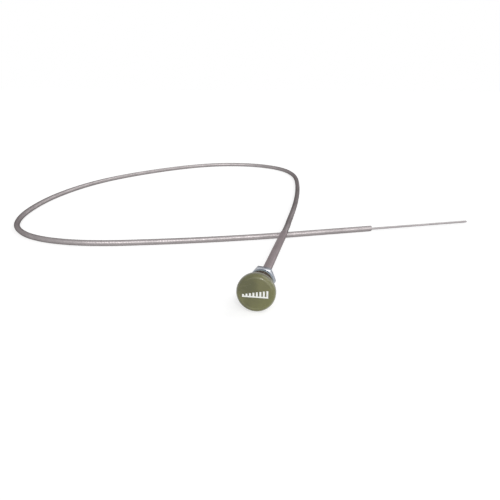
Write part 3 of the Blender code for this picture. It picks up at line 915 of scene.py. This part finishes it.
def build_bushing(settings):
    """Flanged bushing with its thread."""
    front, rear, flange_radius = span("bushing")
    root = THREAD_ROOT_RADIUS
    profile = [
        (front, ROD_HOLE_RADIUS), (front, flange_radius), (0.0, flange_radius), (0.0, root),
        (rear, root), (rear, SOCKET_RADIUS), (SOCKET_FLOOR, SOCKET_RADIUS), (SOCKET_FLOOR, ROD_HOLE_RADIUS),
    ]
    zinc = flange_finish(settings)
    core = linked("bushing_core", turned(eased(profile, BUSHING_CORNER)))
    finished(core, "casing", zinc, ["bushing"])
    ridge = THREAD_CREST_RADIUS - root
    ends = (ridge * THREAD_FROM_FLANGE, rear - ridge * THREAD_FROM_REAR)
    thread = wound("bushing_thread", [on_axis(along) for along in ends], {
        "Coil Radius": root + ridge * THREAD_MIDDLE, "Pitch": settings.thread_pitch,
        "Wire Width": settings.thread_pitch * THREAD_WIDTH, "Wire Thickness": ridge * THREAD_HEIGHT,
        "Flatness": 0.0, "Steps A Turn": THREAD_STEPS_A_TURN, "Wire Sides": THREAD_SIDES, "Finish": zinc,
    })
    finished(thread, "casing", zinc, ["bushing"])


def washer_tree():
    """Geometry Nodes tree that sets twisted teeth round the inside of a washer's ring."""
    maker = Maker("Washer Teeth", {
        "Ring": "Geometry", "Teeth": "Int", "Tooth Radius": "Float", "Twist": "Float",
        "Tooth Size": "Vector", "Finish": "Material",
    })
    circle_inputs = {"Resolution": maker.asked("Teeth"), "Radius": maker.asked("Tooth Radius")}
    circle = maker.geometry("CurvePrimitiveCircle", circle_inputs, "Curve", mode="RADIUS")
    tooth = maker.geometry("MeshCube", {"Size": maker.asked("Tooth Size")}, "Mesh")
    round_axis = maker.geometry("InputIndex", {}, "Index") * math.tau / maker.asked("Teeth")
    turns = {"X": maker.asked("Twist"), "Z": round_axis}
    turn = maker.node("ShaderNodeCombineXYZ", {}, turns, "Vector")
    teeth_inputs = {"Points": circle, "Instance": tooth, "Rotation": turn}
    teeth = maker.geometry("InstanceOnPoints", teeth_inputs, "Instances")
    joined = maker.tree.nodes.new("GeometryNodeJoinGeometry")
    for piece in (maker.asked("Ring"), teeth):
        maker.tree.links.new(piece.socket, joined.inputs["Geometry"])
    return maker.built(Value(maker, joined.outputs["Geometry"]))


def build_lock_washer():
    """Internal-tooth washer, its teeth twisted out of the ring's plane."""
    front, rear, radius = span("lock_washer")
    ring_inner = radius - WASHER_RING_WIDTH
    steel = metal_finish("blued_spring_steel", SPRING_STEEL, 0.34, SPRING_EDGE).material
    profile = [(front, ring_inner), (front, radius), (rear, radius), (rear, ring_inner)]
    turn_up = Matrix.Rotation(math.radians(-90), 4, "X")
    ring = turned(eased(profile, WASHER_CORNER))
    middle = (front + rear) / 2
    bmesh.ops.translate(ring, verts=ring.verts, vec=(0, -middle, 0))
    flat_ring = linked("washer_ring", ring, turn_up.inverted())
    tooth_length = ring_inner - NUT_BORE_RADIUS + TOOTH_IN_RING
    washer = applied("lock_washer_form", flat_ring, washer_tree(), {
        "Teeth": WASHER_TEETH, "Tooth Radius": NUT_BORE_RADIUS + tooth_length / 2,
        "Twist": TOOTH_TWIST, "Tooth Size": (tooth_length, TOOTH_WIDTH, TOOTH_THICKNESS), "Finish": steel,
    })
    washer.data.transform(AXIS @ Matrix.Translation((0, middle, 0)) @ turn_up)
    finished(washer, "casing", steel, ["lock_washer"])


def build_mounting_nut(settings):
    """Hexagon nut with chamfered corners and a countersunk bore."""
    front, rear, corner_radius = span("mounting_nut")
    flat_radius = corner_radius * math.cos(math.pi / 6)
    chamfer_radius = flat_radius * NUT_CHAMFER_SHARE
    chamfer_depth = (corner_radius - chamfer_radius) * math.tan(NUT_CHAMFER_ANGLE)
    corners = []
    for corner in range(6):
        angle = NUT_TURN + math.tau * corner / 6
        corners.append((corner_radius * math.cos(angle), corner_radius * math.sin(angle)))
    sink = NUT_COUNTERSINK
    profile = [
        (front + sink, NUT_BORE_RADIUS), (front, NUT_BORE_RADIUS + sink), (front, chamfer_radius),
        (front + chamfer_depth, corner_radius), (rear - chamfer_depth, corner_radius),
        (rear, chamfer_radius), (rear, NUT_BORE_RADIUS + sink), (rear - sink, NUT_BORE_RADIUS),
    ]
    hexagon = prism(corners, front - NUT_BLANK_EXTRA, rear + NUT_BLANK_EXTRA)
    nut = linked("mounting_nut_form", hexagon)
    combined(nut, linked("nut_blank", turned(profile, FINE_SEGMENTS)), "INTERSECT")
    bevelled(nut, NUT_EDGE)
    finished(nut, "casing", nut_finish(settings), ["mounting_nut"])


def build_barrel(settings):
    """Drawn tube with its rear lip swaged down onto the conduit."""
    front, rear, radius = span("barrel")
    lip = rear - BARREL_LIP_LENGTH
    profile = [
        (front, BARREL_BORE_RADIUS), (front, radius), (lip, radius), (rear, radius - BARREL_LIP_DROP),
        (rear, BARREL_BORE_RADIUS),
    ]
    barrel = linked("barrel_tube", turned(eased(profile, BARREL_CORNER)))
    steel = metal_finish(
        "barrel_steel", settings.barrel_colour, 0.34, BARREL_EDGE,
        stretch=90.0, grain=2600.0, metallic=0.9,
    )
    finished(barrel, "casing", steel.material, ["barrel"])


def smooth_curve(points, first_heading, last_heading):
    """Dense points of a cubic through every given point, with a set heading at each end."""
    points = [Vector(point) for point in points]
    chords = [(after - before).length for before, after in zip(points, points[1:])]
    slopes = [Vector(first_heading)]
    for index in range(1, len(points) - 1):
        before = (points[index] - points[index - 1]) / chords[index - 1]
        after = (points[index + 1] - points[index]) / chords[index]
        share = chords[index - 1] / (chords[index - 1] + chords[index])
        slopes.append(before.lerp(after, share))
    slopes.append(Vector(last_heading))
    dense = [points[0]]
    for index, chord in enumerate(chords):
        start, end = points[index], points[index + 1]
        for step in range(1, CURVE_STEPS + 1):
            t = step / CURVE_STEPS
            place = start * (2 * t**3 - 3 * t**2 + 1) + end * (3 * t**2 - 2 * t**3)
            place += slopes[index] * chord * (t**3 - 2 * t**2 + t)
            place += slopes[index + 1] * chord * (t**3 - t**2)
            dense.append(place)
    return dense


def straight_heading():
    """Direction of the conduit's last straight stretch."""
    return Vector((math.cos(STRAIGHT_HEADING), math.sin(STRAIGHT_HEADING), 0.0))


def conduit_end():
    """Centre of the conduit's cut end."""
    return Vector((*STRAIGHT_START, CONDUIT_RADIUS)) + straight_heading() * STRAIGHT_LENGTH


def conduit_path():
    """Centreline from the conduit's seat in the barrel to its cut end."""
    points = [on_axis(along) for along in (CONDUIT_SEAT, BARREL_END, PAST_CROSSING)]
    points += [Vector((x, y, CONDUIT_RADIUS + lift)) for x, y, lift in ROUTE]
    points.append(Vector((*STRAIGHT_START, CONDUIT_RADIUS)))
    leaving = (on_axis(1.0) - on_axis(0.0)).normalized()
    line = smooth_curve(points, leaving, straight_heading())
    for point in line:
        point.z = max(point.z, CONDUIT_RADIUS)
    return line + [conduit_end()]


def build_conduit(settings):
    """Close-wound conduit from the barrel to its cut end."""
    path = conduit_path()
    steel = conduit_finish(settings)
    crest_share = math.cos(math.pi / COIL_WIRE_SIDES)
    conduit = wound("conduit_coil", path, {
        "Coil Radius": CONDUIT_RADIUS - COIL_WIRE_THICKNESS / 2 * crest_share,
        "Pitch": settings.coil_pitch, "Wire Width": settings.coil_pitch * COIL_WIRE_SHARE,
        "Wire Thickness": COIL_WIRE_THICKNESS, "Flatness": COIL_WIRE_FLATNESS,
        "Steps A Turn": settings.coil_steps, "Wire Sides": COIL_WIRE_SIDES, "Finish": steel,
    })
    finished(conduit, "casing", steel, ["conduit"], sharp=COIL_SHARP_ANGLE)


def build_control_wire(settings):
    """Bare straight end of the control wire, and the finish of its hidden stretches."""
    tone = settings.wire_colour
    steel = metal_finish("control_wire_steel", tone, 0.30, WIRE_EDGE, grain=2400.0, metallic=0.6).material
    start = -WIRE_INSIDE
    profile = [(start, 0.0), (start, WIRE_RADIUS), (WIRE_EXPOSED, WIRE_RADIUS), (WIRE_EXPOSED, 0.0)]
    turn = Matrix.Rotation(STRAIGHT_HEADING - math.pi / 2, 4, "Z")
    end = conduit_end()
    end.z -= WIRE_LOW_IN_BORE
    place = Matrix.Translation(end) @ turn
    form = turned(eased(profile, WIRE_CORNER, closed=False), THIN_SEGMENTS)
    wire = linked("control_wire_tail", form, place)
    finished(wire, "wire_end", steel, ["control_wire_end"])
    for node in ("control_wire_run", "control_wire_front"):
        painted(node, steel)


def emptied(holder):
    """Graph over the shader tree of a world or material, its first nodes removed."""
    holder.use_nodes = True
    holder.node_tree.nodes.clear()
    return Graph(holder.node_tree)


def seen_share(graph):
    """1 for rays from the camera, from reflections and through glass, else 0."""
    names = ("Is Camera Ray", "Is Glossy Ray", "Is Transmission Ray")
    rays = [graph.node("ShaderNodeLightPath", {}, {}, name) for name in names]
    return rays[0].larger(rays[1]).larger(rays[2])


def split(graph, lighting, shown, output):
    """Lights the scene with one shader, and shows the other to the camera and in reflections."""
    surface = graph.node("ShaderNodeMixShader", {}, {0: seen_share(graph), 1: lighting, 2: shown})
    graph.tree.links.new(surface.socket, graph.tree.nodes.new(output).inputs["Surface"])


def build_surroundings():
    """White world, dim where it lights the object."""
    world = bpy.data.worlds.new("Studio")
    bpy.context.scene.world = world
    graph = emptied(world)
    lighting, shown = (
        graph.node("ShaderNodeBackground", {}, {"Color": colour(WHITE), "Strength": strength})
        for strength in (WORLD_LIGHTING, WORLD_SHOWN)
    )
    split(graph, lighting, shown, "ShaderNodeOutputWorld")


def build_floor():
    """Pale sheet that keeps the object's shadow."""
    material = bpy.data.materials.new("pale_floor")
    graph = emptied(material)
    plain, shaded = (
        graph.node("ShaderNodeBsdfDiffuse", {}, {"Color": colour(WHITE, grey)})
        for grey in (FLOOR_GREY, FLOOR_SEEN_GREY)
    )
    glow_inputs = {"Color": colour(WHITE), "Strength": FLOOR_SEEN_GLOW}
    glow = graph.node("ShaderNodeEmission", {}, glow_inputs)
    seen = graph.node("ShaderNodeAddShader", {}, {0: shaded, 1: glow})
    split(graph, plain, seen, "ShaderNodeOutputMaterial")
    half = FLOOR_HALF
    corners = ((-half, -half), (half, -half), (half, half), (-half, half))
    sheet = bmesh.new()
    sheet.faces.new([sheet.verts.new((x, y, -FLOOR_DROP)) for x, y in corners])
    ground = linked("floor", sheet, Matrix.Identity(4))
    ground.data.materials.append(material)
    return ground


def build_lamp(name, place, spread, strength):
    """Lamp that shines from a place towards the frame's origin."""
    lamp = bpy.data.lights.new(name, "SUN")
    lamp.angle = math.radians(spread)
    lamp.energy = strength
    stand = bpy.data.objects.new(name, lamp)
    stand.location = place
    stand.rotation_euler = Vector(place).to_track_quat("Z", "Y").to_euler()
    bpy.context.scene.collection.objects.link(stand)
    return stand


def build_camera():
    """Camera at the photograph's place and angle."""
    lens = bpy.data.cameras.new("camera")
    lens.lens = CAMERA_LENS
    lens.sensor_width = CAMERA_SENSOR
    lens.clip_start = CAMERA_CLIP
    camera = bpy.data.objects.new("camera", lens)
    camera.location = CAMERA_PLACE
    camera.rotation_euler = (math.pi / 2 - CAMERA_TILT, 0.0, CAMERA_TURN)
    bpy.context.scene.collection.objects.link(camera)
    bpy.context.scene.camera = camera
    return camera


def build_stage():
    """Pale floor, white surroundings, soft lamps and the photograph's camera."""
    build_surroundings()
    ground = build_floor()
    lamps = [build_lamp(*lamp) for lamp in LAMPS]
    camera = build_camera()
    bpy.context.scene.view_settings.view_transform = "Standard"


class THROTTLE_OT_knob(bpy.types.Operator):
    """Build the knob and its mark"""

    bl_idname = "throttle.knob"
    bl_label = "Knob"

    def execute(self, context):
        build_knob(context.scene.throttle)
        return {"FINISHED"}


class THROTTLE_OT_pull_rod(bpy.types.Operator):
    """Build the pull rod and finish the insert"""

    bl_idname = "throttle.pull_rod"
    bl_label = "Pull rod"

    def execute(self, context):
        build_pull_rod()
        return {"FINISHED"}


class THROTTLE_OT_mounting(bpy.types.Operator):
    """Build the bushing, lock washer and nut"""

    bl_idname = "throttle.mounting"
    bl_label = "Mounting"

    def execute(self, context):
        build_bushing(context.scene.throttle)
        build_lock_washer()
        build_mounting_nut(context.scene.throttle)
        return {"FINISHED"}


class THROTTLE_OT_barrel(bpy.types.Operator):
    """Build the barrel"""

    bl_idname = "throttle.barrel"
    bl_label = "Barrel"

    def execute(self, context):
        build_barrel(context.scene.throttle)
        return {"FINISHED"}


class THROTTLE_OT_conduit(bpy.types.Operator):
    """Wind the conduit"""

    bl_idname = "throttle.conduit"
    bl_label = "Conduit"

    def execute(self, context):
        build_conduit(context.scene.throttle)
        return {"FINISHED"}


class THROTTLE_OT_control_wire(bpy.types.Operator):
    """Build the control wire's bare end"""

    bl_idname = "throttle.control_wire"
    bl_label = "Control wire"

    def execute(self, context):
        build_control_wire(context.scene.throttle)
        return {"FINISHED"}


class THROTTLE_OT_stage(bpy.types.Operator):
    """Set the floor, lamps, surroundings and camera"""

    bl_idname = "throttle.stage"
    bl_label = "Stage"

    def execute(self, context):
        build_stage()
        return {"FINISHED"}


OPERATORS = (
    THROTTLE_OT_knob,
    THROTTLE_OT_pull_rod,
    THROTTLE_OT_mounting,
    THROTTLE_OT_barrel,
    THROTTLE_OT_conduit,
    THROTTLE_OT_control_wire,
    THROTTLE_OT_stage,
)


class THROTTLE_PT_build(bpy.types.Panel):
    """Settings and pieces of the throttle control"""

    bl_label = "Throttle control"
    bl_space_type = "VIEW_3D"
    bl_region_type = "UI"
    bl_category = "Throttle"

    def draw(self, context):
        settings = context.scene.throttle
        for name in ThrottleSettings.__annotations__:
            self.layout.prop(settings, name)
        for operator in OPERATORS:
            self.layout.operator(operator.bl_idname)


def register():
    bpy.utils.register_class(ThrottleSettings)
    for operator in OPERATORS:
        bpy.utils.register_class(operator)
    bpy.utils.register_class(THROTTLE_PT_build)
    bpy.types.Scene.throttle = PointerProperty(type=ThrottleSettings)


def unregister():
    del bpy.types.Scene.throttle
    bpy.utils.unregister_class(THROTTLE_PT_build)
    for operator in reversed(OPERATORS):
        bpy.utils.unregister_class(operator)
    bpy.utils.unregister_class(ThrottleSettings)


def main():
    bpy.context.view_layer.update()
    register()
    bpy.ops.throttle.knob()
    bpy.ops.throttle.pull_rod()
    bpy.ops.throttle.mounting()
    bpy.ops.throttle.barrel()
    bpy.ops.throttle.conduit()
    bpy.ops.throttle.control_wire()
    bpy.ops.throttle.stage()


if __name__ == "__main__":
    main()
